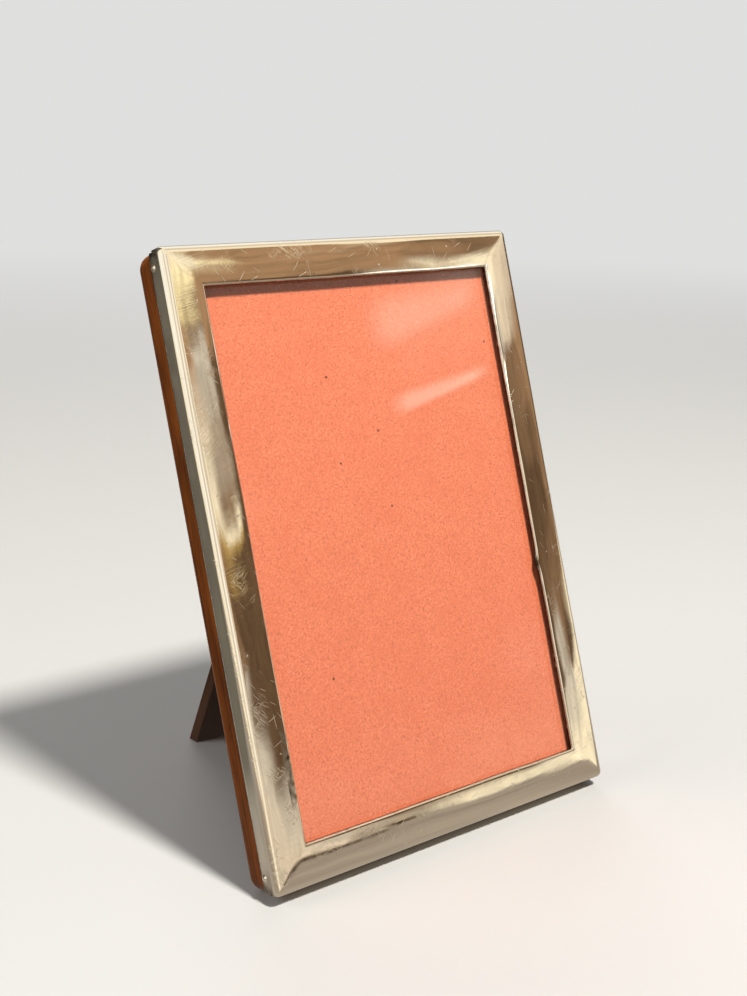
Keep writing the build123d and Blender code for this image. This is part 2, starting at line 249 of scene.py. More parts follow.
def brass_material():
    """Aged brass with brown patina in patches."""
    material, tree, shader = new_material("aged_brass")
    plain = mapped(tree)
    patina = ramp(tree, noise_at(tree, plain, 260, 4, 0.6), [(0.36, 0.0), (0.7, 1.0)])
    colour = mixed(tree, patina, BRASS, PATINA)
    tree.links.new(colour, shader.inputs["Base Color"])
    shader.inputs["Metallic"].default_value = 1
    tree.links.new(ramp(tree, patina, [(0.0, 0.26), (1.0, 0.5)]), shader.inputs["Roughness"])
    brushed = noise_at(tree, mapped(tree, scale=(150, 2600, 2600)), 1, 2)
    tree.links.new(bumped(tree, brushed, 0.2, FINE_RELIEF), shader.inputs["Normal"])
    return material


def card_material():
    """Coral sugar paper: mottled, with short darker and paler fibres and a few dark specks."""
    material, tree, shader = new_material("coral_card")
    face = mapped(tree, UPRIGHT)
    mottle = noise_at(tree, face, 1900, 4, 0.65)
    colour = ramp(tree, mottle, CARD_TONES)
    cloud = noise_at(tree, face, 160, 3)
    colour = mixed(tree, ramp(tree, cloud, [(0.40, 0.0), (0.7, 0.4)]), colour, CARD_CLOUD)
    for turn, shade in CARD_FIBRES:
        lines = mapped(tree, (LEAN, turn, 0), (1000, 1, 330), (turn, 0, 2 * turn))
        colour = mixed(tree, maths(tree, "MULTIPLY", dots(tree, lines, 0.2, 0.25), 0.5), colour, shade)
    specks = dots(tree, mapped(tree, UPRIGHT, (75, 1, 75)), 0.028, 0.08)
    colour = mixed(tree, specks, colour, CARD_SPECK)
    tree.links.new(colour, shader.inputs["Base Color"])
    shader.inputs["Roughness"].default_value = 0.85
    shader.inputs["Specular IOR Level"].default_value = 0.2
    tree.links.new(bumped(tree, mottle, 0.3, CARD_RELIEF), shader.inputs["Normal"])
    return material


def glass_material():
    """Clear glass that lets the lamps through to the card."""
    material, tree, shader = new_material("clear_glass")
    shader.inputs["Base Color"].default_value = GLASS_TINT
    shader.inputs["Roughness"].default_value = 0.0
    shader.inputs["IOR"].default_value = GLASS_IOR
    shader.inputs["Transmission Weight"].default_value = 1
    clear = add(tree, "BsdfTransparent", {"Color": GLASS_SHADE})
    path = add(tree, "LightPath")
    through = maths(tree, "MAXIMUM", path.outputs["Is Shadow Ray"], path.outputs["Is Diffuse Ray"])
    shown = add(tree, "MixShader", {0: through, 1: shader.outputs[0], 2: clear.outputs[0]})
    tree.links.new(shown.outputs[0], tree.nodes["Material Output"].inputs["Surface"])
    return material


def board_material():
    """Grey packing board."""
    material, tree, shader = new_material("greyboard")
    fibre = noise_at(tree, mapped(tree), 900, 4, 0.7)
    colour = ramp(tree, fibre, [(0.3, BOARD_DARK), (0.7, BOARD_LIGHT)])
    tree.links.new(colour, shader.inputs["Base Color"])
    shader.inputs["Roughness"].default_value = 0.9
    return material


# Mesh helpers


def piece(name, mesh, material, body, slot, *replaced):
    """A new object in the row frame that stands for CAD nodes."""
    obj = bpy.data.objects.new(name, mesh)
    bpy.context.scene.collection.objects.link(obj)
    mesh.materials.append(material)
    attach(obj, body)
    if replaced:
        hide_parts(*replaced)
    return obj


def arc(centre, radius, start, end, count):
    """Points round an arc in (inset, depth), from start to end in degrees; 90 is the front."""
    turns = [math.radians(start + (end - start) * i / count) for i in range(count + 1)]
    return [(centre[0] + radius * math.cos(a), centre[1] - radius * math.sin(a)) for a in turns]


# Silver front, with lengths in millimetres

SOFT_RIM = 0.07  # how far the sheet's cut edges are eased
SKIRT_ROWS = (5.0, 4.2)  # depths of the rows of points on the skirt behind its relief cuts
SHOULDER_ROW = 2.9
CREASE_AT_LIP, CREASE_SWELL = 0.28, 1.6  # radius of the mitre creases, and what they gain halfway across
SHORT_COUNT, LONG_COUNT = 90, 126  # points along the short sides and the long sides
LONG_WAVE, LONG_RISE, SHORT_WAVE, SHORT_RISE = 27, 0.16, 11, 0.09  # waves in the face: length and height
STRAY_LENGTH, STRAY_RISE, STRAY_FROM, STRAY_OVER = 15, 0.16, 8.6, 1.4  # how the opening's edge strays

# Quarters are counted from the bottom, and distances along a side from its middle
RIGHT_QUARTER, BURR_AT, BURR_REACH, BURR_RISE = 1, -14.5, 1.7, 0.75  # a burr on the right side of the opening
LEFT_QUARTER, PITS_AT, PITS_REACH = 3, 47.0, 9.0  # a pitted stretch low on the left side
CHIP_LENGTH, CHIP_GAIN, CHIP_LEVEL, CHIP_LIFT, CHIP_LIFT_OVER, CHIP_MOST = 1.9, 2.2, 0.45, 0.4, 30, 0.2

# Patina at the skirt's corners and rear rim; about the opening, painted shade on its inner wall and edge, and
# stains on its chips, burr and pits: 1 is full where the silver is darkest
CORNER_STAIN, CORNER_REACH, RIM_STAIN, RIM_REACH = 0.95, 5, 0.6, 0.45
LIP_WALL_PAINTED_SHADE, EDGE_PAINTED_SHADE, CHIP_STAIN = 1.6, 0.3, 1.3
PIT_STAIN, PIT_SPECK, PIT_FROM, PIT_TO = 1.1, 0.8, BORDER - 2.0, BORDER - 0.3


def shoulder(radius, reach):
    """Depth at which an edge of this radius, this far from the ridge, has turned square to the face."""
    return CROWN_RADIUS - math.sqrt((CROWN_RADIUS - radius) ** 2 - (reach - radius) ** 2)


def sheet_line(inset, edge_count, crown_count):
    """One face of the sheet from the skirt's shoulder over the ridge to the lip."""
    outer, inner = shoulder(EDGE_RADIUS, RIDGE), shoulder(LIP_RADIUS, BORDER - RIDGE)
    start = math.degrees(math.atan2(CROWN_RADIUS - outer, EDGE_RADIUS - RIDGE))
    end = math.degrees(math.atan2(CROWN_RADIUS - inner, BORDER - LIP_RADIUS - RIDGE))
    edge = arc((EDGE_RADIUS, outer + WAVE_ROOM), EDGE_RADIUS - inset, 180, start, edge_count)
    crown = arc((RIDGE, CROWN_RADIUS + WAVE_ROOM), CROWN_RADIUS - inset, start, end, crown_count)
    lip = arc((BORDER - LIP_RADIUS, inner + WAVE_ROOM), LIP_RADIUS - inset, end, 0, edge_count)
    return edge + crown[1:] + lip[1:]


def silver_section():
    """Closed section of the sheet as (inset, depth) points: outside first, then back along the inside."""
    rear = SKIRT_DEPTH - NOTCH_DEPTH
    skirt = [(0, depth) for depth in (SKIRT_DEPTH - SOFT_RIM, *SKIRT_ROWS, rear, SHOULDER_ROW)]
    lip = [(BORDER, LIP_DEPTH - SOFT_RIM), (BORDER - SOFT_RIM, LIP_DEPTH), (BORDER - SHEET, LIP_DEPTH)]
    outside = sheet_line(0, edge_count=9, crown_count=28)
    inside = sheet_line(SHEET, edge_count=4, crown_count=8)[::-1]
    skirt_inside = [(SHEET, rear), (SHEET, SKIRT_DEPTH), (SOFT_RIM, SKIRT_DEPTH)]
    return skirt + outside + lip + inside + skirt_inside


def crease_radius(inset):
    """Corner radius of the line round the frame at this inset: crisp at the lip, soft on the face."""
    swell = math.sin(math.pi * min(max(inset / BORDER, 0), 1)) ** 2
    return max(CORNER_RADIUS - inset, CREASE_AT_LIP + CREASE_SWELL * swell)


NOTCH_TURN = math.degrees(math.asin(NOTCH_WIDTH / 2 / CORNER_RADIUS))
CORNER_TURNS = [
    *((turn, False) for turn in (0, 10, 20, 45 - NOTCH_TURN)),
    *((45 + NOTCH_TURN * k / 3, True) for k in range(-3, 4)),
    *((turn, False) for turn in (45 + NOTCH_TURN, 70, 80, 90)),
]


def burr(along, quarter):
    """How near a point of the opening's edge is to the burr: 1 at its middle."""
    return math.exp(-(((along - BURR_AT) / BURR_REACH) ** 2)) if quarter == RIGHT_QUARTER else 0.0


def chips(along, quarter):
    """How far the edge of the opening is chipped and stained, mostly up the right side."""
    worn = noise.noise(Vector((along / CHIP_LENGTH, 3.3 * quarter, 7.5)))
    lift = min(max(along / CHIP_LIFT_OVER, 0), 1) if quarter == RIGHT_QUARTER else 0.0
    return min(max(CHIP_GAIN * (worn - CHIP_LEVEL + CHIP_LIFT * lift), 0), CHIP_MOST)


def pitted(along, quarter):
    """How far the face beside the opening is pitted, low on the left side: 1 in the middle of the stretch."""
    return math.exp(-(((along - PITS_AT) / PITS_REACH) ** 4)) if quarter == LEFT_QUARTER else 0.0


def lip_wander(inset, along, quarter):
    """How far the hand-finished edge of the opening strays, in millimetres."""
    near_lip = min(max((inset - STRAY_FROM) / STRAY_OVER, 0), 1)
    stray = STRAY_RISE * noise.noise(Vector((along / STRAY_LENGTH, 4.7 * quarter, 0.5)))
    return near_lip**2 * (stray - BURR_RISE * burr(along, quarter))


def stations(inset):
    """Points round the frame at one inset: (x, z, in a notch, distance to a corner, chipped, pitted)."""
    half_x, half_z, radius = WIDTH / 2 - inset, HEIGHT / 2 - inset, crease_radius(inset)
    points = []
    sides = (
        (1, 0, 0, -1, half_x, half_z, SHORT_COUNT),
        (0, 1, 1, 0, half_z, half_x, LONG_COUNT),
        (-1, 0, 0, 1, half_x, half_z, SHORT_COUNT),
        (0, -1, -1, 0, half_z, half_x, LONG_COUNT),
    )
    for quarter, (along_x, along_z, out_x, out_z, reach, offset, count) in enumerate(sides):
        run = reach - radius
        for i in range(1, count):
            s = -run + 2 * run * i / count
            out = offset + lip_wander(inset, s, quarter) * (1 - (s / run) ** 6)
            chipped = max(burr(s, quarter), chips(s, quarter))
            place = along_x * s + out_x * out, along_z * s + out_z * out
            points.append((*place, False, reach - abs(s), chipped, pitted(s, quarter)))
        centre = (along_x * run + out_x * (offset - radius), along_z * run + out_z * (offset - radius))
        for turn, notched in CORNER_TURNS:
            a = math.radians(turn + 90 * (quarter - 1))
            place = centre[0] + radius * math.cos(a), centre[1] + radius * math.sin(a)
            points.append((*place, notched, 0.0, 0.0, 0.0))
    return points


def waviness(x, z):
    """How far the hand-worked sheet lies behind its true face, in millimetres."""
    long_wave = noise.noise(Vector((x / LONG_WAVE, z / LONG_WAVE, 3.1)))
    short_wave = noise.noise(Vector((x / SHORT_WAVE, z / SHORT_WAVE, 8.7)))
    return LONG_RISE * long_wave + SHORT_RISE * short_wave


def silver_mesh():
    """The pressed sheet as a fine grid, with waves in the face and relief cuts in the skirt's corners."""
    section = silver_section()
    rear = SKIRT_DEPTH - NOTCH_DEPTH
    count = len(stations(0))
    vertices, stains_and_shade = [], []
    for inset, depth in section:
        level = math.sin(math.pi * min(max(inset / BORDER, 0), 1)) ** 0.6
        for x, z, notched, corner, chipped, pits in stations(inset):
            y = min(depth, rear) if notched else depth
            y += level * waviness(x, z)
            vertices.append(STAND @ Vector((x, y, z + HEIGHT / 2)))
            on_skirt = depth > 2.0 and inset <= SHEET
            near = math.exp(-((corner / CORNER_REACH) ** 2))
            low = math.exp(-(SKIRT_DEPTH - depth) / RIM_REACH)
            in_lip = inset > BORDER - SHEET and depth > LIP_RADIUS + WAVE_ROOM
            at_edge = inset > BORDER - 0.5 * SHEET
            speck = 0.5 + noise.noise(Vector((x / PIT_SPECK, z / PIT_SPECK, 5.5)))
            in_pits = PIT_STAIN * pits * speck * (PIT_FROM < inset < PIT_TO)
            # Inside the opening the wall and its edge are darkened as painted shade of the gap down to the
            # glass; chips, the burr and pits add stains
            opening_shade_and_wear = max(LIP_WALL_PAINTED_SHADE * in_lip, (EDGE_PAINTED_SHADE + CHIP_STAIN * chipped) * at_edge, in_pits)
            stains_and_shade.append(min(1.0, CORNER_STAIN * near + RIM_STAIN * low) if on_skirt else opening_shade_and_wear)
    faces = []
    for i in range(len(section)):
        j = (i + 1) % len(section)
        for k in range(count):
            m = (k + 1) % count
            faces.append((i * count + k, i * count + m, j * count + m, j * count + k))
    mesh = bpy.data.meshes.new("silver_front_sheet")
    mesh.from_pydata(vertices, [], faces)
    mesh.attributes.new("tarnish_and_shade", "FLOAT", "POINT").data.foreach_set("value", stains_and_shade)
    work = bmesh.new()
    work.from_mesh(mesh)
    bmesh.ops.remove_doubles(work, verts=work.verts, dist=1e-7)
    bmesh.ops.recalc_face_normals(work, faces=work.faces)
    work.to_mesh(mesh)
    work.free()
    mesh.shade_smooth()
    return mesh


# Fasteners, in millimetres: each is its shank's radius and length, then its head's radius and height

PIN = (0.45, 5.0, 0.9, 0.5)
BUTTON_SCREW = (0.75, 6.5, 1.7, 1.1)
BRACKET_SCREW = (0.8, 5.4, 1.7, 1.0)
SLOT_DEPTH, SLOT_WIDTH, BLADE_LENGTH = 0.4, 0.4, 8
SCREW_TURNS = (0.5, -0.35, 1.2, 0.1)
PIN_DEPTH, PIN_FROM_END = 4.6, 4.5
BUTTON_SIDE, BUTTON_REAR, BUTTON_HEIGHTS = 48.25, 14.3, (33, 117)
BRACKET_SIDE, BRACKET_RISE = 16.75, 4.5


def lathe(points, count):
    """Mesh turned about Z from (radius, height) points, closed at both ends on the axis."""
    work = bmesh.new()
    rings = []
    for radius, height in points:
        if radius == 0:
            rings.append([work.verts.new((0, 0, height))] * count)
        else:
            turns = [2 * math.pi * k / count for k in range(count)]
            ring = [(radius * math.cos(a), radius * math.sin(a), height) for a in turns]
            rings.append([work.verts.new(point) for point in ring])
    for low, high in zip(rings, rings[1:]):
        for k in range(count):
            corners = [low[k], low[(k + 1) % count], high[(k + 1) % count], high[k]]
            work.faces.new(list(dict.fromkeys(corners)))
    bmesh.ops.recalc_face_normals(work, faces=work.faces)
    return work


def domed_head(shank, length, head, height, count=40):
    """Shank and domed head, with the seat of the head at the origin."""
    dome = (head**2 + height**2) / (2 * height)
    rim = math.degrees(math.atan2(dome - height, head))
    turns = [math.radians(rim + (90 - rim) * i / 9) for i in range(1, 9)]
    cap = [(dome * math.cos(a), height - dome + dome * math.sin(a)) for a in turns]
    stem = [(0, -length), (shank, 0.8 * shank - length), (shank, 0), (head, 0)]
    return lathe([*stem, *cap, (0, height)], count)


def cut_slot(work, top, depth, width, turn):
    """The head with a driver slot, as a new mesh."""
    solid = bpy.data.meshes.new("head")
    work.to_mesh(solid)
    work.free()
    blade = bmesh.new()
    bmesh.ops.create_cube(blade, size=1)
    size = Matrix.Diagonal((BLADE_LENGTH, width, 2 * depth, 1))
    place = Matrix.Translation((0, 0, top)) @ Matrix.Rotation(turn, 4, "Z")
    bmesh.ops.transform(blade, matrix=place @ size, verts=blade.verts)
    cutter = bpy.data.meshes.new("blade")
    blade.to_mesh(cutter)
    blade.free()
    body, tool = bpy.data.objects.new("head", solid), bpy.data.objects.new("blade", cutter)
    for obj in (body, tool):
        bpy.context.scene.collection.objects.link(obj)
    modifier = body.modifiers.new("slot", "BOOLEAN")
    modifier.operation, modifier.solver, modifier.object = "DIFFERENCE", "EXACT", tool
    made = bpy.data.meshes.new_from_object(body.evaluated_get(bpy.context.evaluated_depsgraph_get()))
    for obj in (body, tool):
        bpy.data.objects.remove(obj)
    return made


def gathered(name, meshes_and_places):
    """One smooth mesh from several meshes, each set in its place on the upright frame."""
    work = bmesh.new()
    for mesh, place in meshes_and_places:
        part = bmesh.new()
        part.from_mesh(mesh)
        part.transform(STAND @ place)
        copy = bpy.data.meshes.new("copy")
        part.to_mesh(copy)
        part.free()
        work.from_mesh(copy)
    mesh = bpy.data.meshes.new(name)
    work.to_mesh(mesh)
    work.free()
    mesh.shade_smooth()
    mesh.set_sharp_from_angle(angle=math.radians(35))
    return mesh


def as_mesh(work):
    mesh = bpy.data.meshes.new("turned")
    work.to_mesh(mesh)
    work.free()
    return mesh


def facing_back(x, y, z):
    return Matrix.Translation((x, y, z)) @ Matrix.Rotation(math.radians(-90), 4, "X")


SKIRT_PINS = [
    Matrix.Translation((side * WIDTH / 2, PIN_DEPTH, z)) @ Matrix.Rotation(math.radians(90 * side), 4, "Y")
    for side in (-1, 1)
    for z in (PIN_FROM_END, HEIGHT - PIN_FROM_END)
]
BUTTON_SCREWS = [facing_back(side * BUTTON_SIDE, BUTTON_REAR, z) for side in (-1, 1) for z in BUTTON_HEIGHTS]
BRACKET_SCREWS = [
    facing_back(side * BRACKET_SIDE, PLATE_REAR, HINGE.z + rise)
    for side in (-1, 1)
    for rise in (-BRACKET_RISE, BRACKET_RISE)
]


def slotted_screws(name, screw, places):
    """Screws in their places, each with its slot turned its own way."""
    top = screw[-1]
    made = [cut_slot(domed_head(*screw), top, SLOT_DEPTH, SLOT_WIDTH, turn) for turn in SCREW_TURNS]
    return gathered(name, list(zip(made, places)))


# Dressing the part

silver = silver_material()
brass = brass_material()

piece("silver_front_sheet", silver_mesh(), silver, "frame", "silver", "silver_front")
pin = as_mesh(domed_head(*PIN))
pins = gathered("skirt_pin_heads", [(pin, place) for place in SKIRT_PINS])
piece("skirt_pin_heads", pins, silver, "frame", "silver", "skirt_pins")
screws = slotted_screws("turn_button_screw_heads", BUTTON_SCREW, BUTTON_SCREWS)
piece("turn_button_screw_heads", screws, brass, "frame", "brass", "turn_button_screws")
screws = slotted_screws("bracket_screw_heads", BRACKET_SCREW, BRACKET_SCREWS)
piece("bracket_screw_heads", screws, brass, "frame", "brass", "bracket_screws")

RAIL_DARK, RAIL_LIGHT = (0.055, 0.011, 0.002), (0.42, 0.108, 0.011)
BACK_DARK, BACK_LIGHT = (0.06, 0.015, 0.003), (0.23, 0.068, 0.014)
# The strut's colours are the back panel's wood made darker: painted shade
STRUT_PAINTED_SHADE_DARK, STRUT_PAINTED_SHADE_LIGHT = (0.022, 0.0065, 0.0015), (0.095, 0.027, 0.0055)
finishes = {
    "wood_rail_left": wood_material("wood_left", UPRIGHT, RAIL_DARK, RAIL_LIGHT, (3, 1, 0)),
    "wood_rail_right": wood_material("wood_right", UPRIGHT, RAIL_DARK, RAIL_LIGHT, (11, 5, 2)),
    "wood_rail_top": wood_material("wood_top", ACROSS, RAIL_DARK, RAIL_LIGHT, (7, 2, 5)),
    "wood_rail_bottom": wood_material("wood_bottom", ACROSS, RAIL_DARK, RAIL_LIGHT, (1, 9, 4)),
    "back_panel": wood_material("wood_panel", UPRIGHT, BACK_DARK, BACK_LIGHT, (5, 6, 1)),
    "strut": wood_material("wood_strut_painted_shade", STRUT_TURN, STRUT_PAINTED_SHADE_DARK, STRUT_PAINTED_SHADE_LIGHT, (9, 3, 7)),
    "glass_pane": glass_material(),
    "photo_card": card_material(),
    "packing_board": board_material(),
    "strut_bracket": brass,
    "strut_pin": brass,
    "turn_button_upper_left": brass,
    "turn_button_upper_right": brass,
    "turn_button_lower_left": brass,
    "turn_button_lower_right": brass,
}
for name, material in finishes.items():
    nodes[name].data.materials.clear()
    nodes[name].data.materials.append(material)

SOFT_EDGES = {"strut": 0.7, "strut_bracket": 0.2, "back_panel": 0.4}  # widths in millimetres
for name, width in SOFT_EDGES.items():
    bevel = nodes[name].modifiers.new("soft_edges", "BEVEL")
    bevel.width, bevel.segments, bevel.limit_method = width * MM, 3, "ANGLE"
    bevel.angle_limit = math.radians(50)


# Stage: a pale floor that fades into a pale background, and what the silver mirrors

DEEP, DARK = (0.06, 0.032, 0.014), (0.125, 0.070, 0.036)
BROWN, TAN, GOLD = (0.24, 0.138, 0.072), (0.385, 0.222, 0.112), (0.46, 0.29, 0.09)
DUN, PALE_DUN, BEIGE = (0.44, 0.34, 0.235), (0.58, 0.50, 0.385), (0.74, 0.59, 0.42)
YELLOW, CREAM, WHITE = (0.98, 0.80, 0.42), (0.98, 0.84, 0.58), (1.0, 0.95, 0.82)
GREY, FLOOR_GREY, FLOOR_PALE = (0.125, 0.112, 0.085), (0.37, 0.30, 0.225), (0.66, 0.61, 0.52)
FLOOR_PAINTED_SHADOW = (0.15, 0.132, 0.10, 1)
PALE, DULL = (0.60, 0.596, 0.585, 1), (0.18, 0.178, 0.173, 1)  # the floor as seen, and as it lights the part
BACKGROUND = (0.74, 0.74, 0.735, 1)
FLOOR_RADIUS, FADE_REACH = 8, 2.0

floor_mesh = bpy.data.meshes.new("floor")
floor_work = bmesh.new()
bmesh.ops.create_circle(floor_work, cap_ends=True, radius=FLOOR_RADIUS, segments=96)
floor_work.to_mesh(floor_mesh)
floor_work.free()
floor = bpy.data.objects.new("floor", floor_mesh)
bpy.context.scene.collection.objects.link(floor)
floor_material, tree, shader = new_material("pale_floor")
path = add(tree, "LightPath")
tree.links.new(mixed(tree, path.outputs["Is Camera Ray"], DULL, PALE), shader.inputs["Base Color"])
shader.inputs["Roughness"].default_value = 0.75
shader.inputs["Specular IOR Level"].default_value = 0.25
plain = mapped(tree)
away = add(tree, "VectorMath", {0: plain}, operation="LENGTH").outputs["Value"]
far = ramp(tree, maths(tree, "DIVIDE", away, FADE_REACH), [(0.15, 0.0), (0.75, 1.0)], smooth=True)
fade = add(tree, "Emission", {"Color": BACKGROUND, "Strength": 1.0})
pale = add(tree, "MixShader", {0: far, 1: shader.outputs[0], 2: fade.outputs[0]})
across = add(tree, "SeparateXYZ", {"Vector": plain}).outputs
across = {axis: maths(tree, "ADD", across[axis], 0.5) for axis in "XY"}
# Mirrors see the floor as a glow, a painted reflection, darker at the left rear as a painted shadow
mirrored = ramp(tree, across["Y"], [(0.44, FLOOR_GREY), (0.56, FLOOR_PALE)])
on_left = ramp(tree, across["X"], [(0.42, 1.0), (0.45, 0.0)])
at_rear = ramp(tree, across["Y"], [(0.46, 0.0), (0.52, 1.0)])
mirrored = mixed(tree, maths(tree, "MULTIPLY", on_left, at_rear), mirrored, FLOOR_PAINTED_SHADOW)
mottle = ramp(tree, noise_at(tree, plain, 9, 3, 0.55, 0.8), [(0.35, 0.8), (0.65, 1.12)])
mirrored = mixed(tree, 1.0, mirrored, mottle, "MULTIPLY")
glow = add(tree, "Emission", {"Color": mirrored, "Strength": 1.0})
shown = add(tree, "MixShader", {0: path.outputs["Is Glossy Ray"], 1: pale.outputs[0], 2: glow.outputs[0]})
tree.links.new(shown.outputs[0], tree.nodes["Material Output"].inputs["Surface"])
floor_mesh.materials.append(floor_material)

# A warm room that only mirrors see, painted by bearing, in degrees to the right of straight ahead, and by
# height: degrees above the horizon for the room and metres for a round wall of cards before it
BEHIND = [(0, GREY), (10, GREY), (22, PALE_DUN), (40, WHITE)]
LEFT = [(0, DUN), (2, CREAM), (12, WHITE), (60, CREAM)]
LEFT_DULL = [(0, BROWN), (3, BEIGE), (25, BEIGE), (40, CREAM)]
RIGHT = [(0, DARK), (20, GREY), (40, BEIGE)]
ROOM = [(-106, LEFT), (-44, LEFT_DULL), (-30, LEFT), (-9, LEFT_DULL), (20, LEFT), (70, RIGHT), (106, BEHIND)]
ROOM_TOP, ROOM_RIPPLE, WALL_RIPPLE = 90, 5.0, 9.0

WALL_RADIUS, WALL_TOP, WALL_START, WALL_END = 0.5, 0.8, 2, 72
LEFT_GOLD = [(0.205, DARK), (0.22, GOLD), (0.235, CREAM), (0.25, BROWN), (0.262, DUN)]
LEFT_TOP = [(0.30, DUN), (0.32, PALE_DUN), (0.36, PALE_DUN), (0.37, BROWN), (0.385, YELLOW), (0.46, CREAM)]
LOW_LINE = [(0, DEEP), (0.009, DEEP), (0.014, BEIGE)]
FRONT_LEFT = [
    *LOW_LINE,
    *((0.13, PALE_DUN), (0.145, BROWN), (0.20, BROWN)),
    *((0.225, TAN), (0.25, CREAM), (0.5, WHITE)),
]
LEFT_SIDE = [
    *LOW_LINE,
    *((0.105, PALE_DUN), (0.12, DARK), (0.205, DARK), (0.225, GOLD), (0.25, CREAM)),
    *((0.31, BEIGE), (0.345, TAN), (0.37, TAN), (0.39, YELLOW), (0.46, CREAM)),
]
LEFT_INNER = [*LOW_LINE, (0.06, PALE_DUN), (0.08, DARK), *LEFT_GOLD, *LEFT_TOP]
TO_TAN = [(0.07, DARK), (0.33, DARK), (0.35, TAN)]
LOW_MIDDLE = [
    *((0, FLOOR_GREY), (0.012, FLOOR_GREY), (0.015, DEEP), (0.025, DEEP), (0.03, DUN), (0.05, DUN)),
    *TO_TAN,
]
LEFT_CORNER = [*LOW_MIDDLE, (0.38, TAN), (0.395, YELLOW), (0.46, CREAM)]
TOP_EDGE = [(0.60, TAN), (0.64, CREAM)]
MIDDLE_LEFT = [*LOW_MIDDLE, (0.44, TAN), (0.46, YELLOW), (0.52, CREAM)]
MIDDLE = [(0, FLOOR_GREY), (0.012, FLOOR_GREY), (0.02, CREAM), (0.05, CREAM), *TO_TAN, *TOP_EDGE]
RIGHT_BANDS = [(0.12, BROWN), (0.15, DARK), (0.19, DARK), (0.22, BROWN), (0.265, BROWN)]
RIGHT_TOP = [(0.285, BEIGE), (0.33, CREAM), (0.355, CREAM), (0.375, BROWN), (0.45, BROWN), (0.48, CREAM)]
RIGHT_INNER = [
    *((0, CREAM), (0.03, CREAM), (0.06, PALE_DUN), (0.10, PALE_DUN)),
    *RIGHT_BANDS,
    *((0.285, PALE_DUN), (0.32, PALE_DUN), (0.345, TAN)),
    *TOP_EDGE,
]
RIGHT_SIDE = [
    *((0, CREAM), (0.055, CREAM), (0.07, DARK), (0.085, DARK), (0.10, BROWN)),
    *RIGHT_BANDS,
    *RIGHT_TOP,
]
RIGHT_MIDDLE = [
    *((0, CREAM), (0.03, CREAM), (0.05, PALE_DUN), (0.065, PALE_DUN), (0.085, BROWN)),
    *RIGHT_BANDS,
    *RIGHT_TOP,
]
RIGHT_EDGE = [(0, CREAM), (0.09, CREAM), (0.11, BROWN), (0.25, TAN), (0.28, BEIGE), (0.45, CREAM)]
WALL = [
    *((WALL_START, FRONT_LEFT), (10, LEFT_SIDE), (16, LEFT_INNER), (28.5, LEFT_CORNER)),
    *((31.5, MIDDLE_LEFT), (35, MIDDLE), (42, RIGHT_INNER)),
    *((48, RIGHT_MIDDLE), (52, RIGHT_SIDE), (57, RIGHT_EDGE)),
]
ZONE_BLUR = 1.5  # half the width, in degrees, over which one bearing's colours pass into the next's
HEIGHT_RIPPLE, BEARING_RIPPLE = 0.06, 0.05


def painted(tree, place, height, zones, top, ripple_scale):
    """Colour at a place by its bearing and its height as a share of the top, with rippled borders."""
    parts = add(tree, "SeparateXYZ", {"Vector": place}).outputs
    ripple = maths(tree, "SUBTRACT", noise_at(tree, place, ripple_scale, 2), 0.5)
    height = maths(tree, "ADD", height, maths(tree, "MULTIPLY", ripple, HEIGHT_RIPPLE))
    turn = maths(tree, "ARCTAN2", parts["X"], maths(tree, "MULTIPLY", parts["Y"], -1.0))
    share = maths(tree, "ADD", maths(tree, "MULTIPLY", turn, 0.5 / math.pi), 0.5)
    bearing = maths(tree, "ADD", share, maths(tree, "MULTIPLY", ripple, BEARING_RIPPLE))
    colour = (*GREY, 1)
    for start, heights in zones:
        before, after = ((start + blur) / 360 + 0.5 for blur in (-ZONE_BLUR, ZONE_BLUR))
        begun = ramp(tree, bearing, [(before, 0.0), (after, 1.0)])
        colour = mixed(tree, begun, colour, ramp(tree, height, [(h / top, c) for h, c in heights]))
    cloud = noise_at(tree, place, 3 * ripple_scale, 3, 0.6, 1.5)
    return mixed(tree, 1.0, colour, ramp(tree, cloud, [(0.35, 0.8), (0.65, 1.2)]), "MULTIPLY")


SOFT_COLOUR, SOFT_STRENGTH = (0.95, 0.97, 1.0, 1), 0.07

world = bpy.data.worlds.new("studio")
bpy.context.scene.world = world
world.use_nodes = True
tree = world.node_tree
tree.nodes.clear()
path = add(tree, "LightPath")
soft = add(tree, "Background", {"Color": SOFT_COLOUR, "Strength": SOFT_STRENGTH})
seen = add(tree, "Background", {"Color": BACKGROUND, "Strength": 1.0})
direction = add(tree, "TexCoord").outputs["Generated"]
lift = add(tree, "SeparateXYZ", {"Vector": direction}).outputs["Z"]
height = maths(tree, "MULTIPLY", maths(tree, "ARCSINE", lift), 2 / math.pi)
room = painted(tree, direction, height, ROOM, ROOM_TOP, ROOM_RIPPLE)
mirrored = add(tree, "Background", {"Color": room, "Strength": 1.0})
lit = add(tree, "MixShader", {0: path.outputs["Is Glossy Ray"], 1: soft.outputs[0], 2: mirrored.outputs[0]})
through = maths(tree, "MAXIMUM", path.outputs["Is Camera Ray"], path.outputs["Is Transmission Ray"])
surroundings = add(tree, "MixShader", {0: through, 1: lit.outputs[0], 2: seen.outputs[0]})
add(tree, "OutputWorld", {"Surface": surroundings.outputs[0]})


def mirrored_only(name, mesh, material):
    """A card on the stage that shows only in mirrors."""
    obj = bpy.data.objects.new(name, mesh)
    bpy.context.scene.collection.objects.link(obj)
    obj.visible_camera = obj.visible_diffuse = obj.visible_shadow = obj.visible_transmission = False
    mesh.materials.append(material)


def round_wall(count=60):
    """Upright strip round the frame between the wall's two bearings."""
    turns = [math.radians(WALL_START + (WALL_END - WALL_START) * i / count) for i in range(count + 1)]
    rows = [(WALL_RADIUS * math.sin(a), -WALL_RADIUS * math.cos(a), z) for z in (0, WALL_TOP) for a in turns]
    mesh = bpy.data.meshes.new("wall")
    mesh.from_pydata(rows, [], [(i, i + 1, count + 2 + i, count + 1 + i) for i in range(count)])
    return mesh


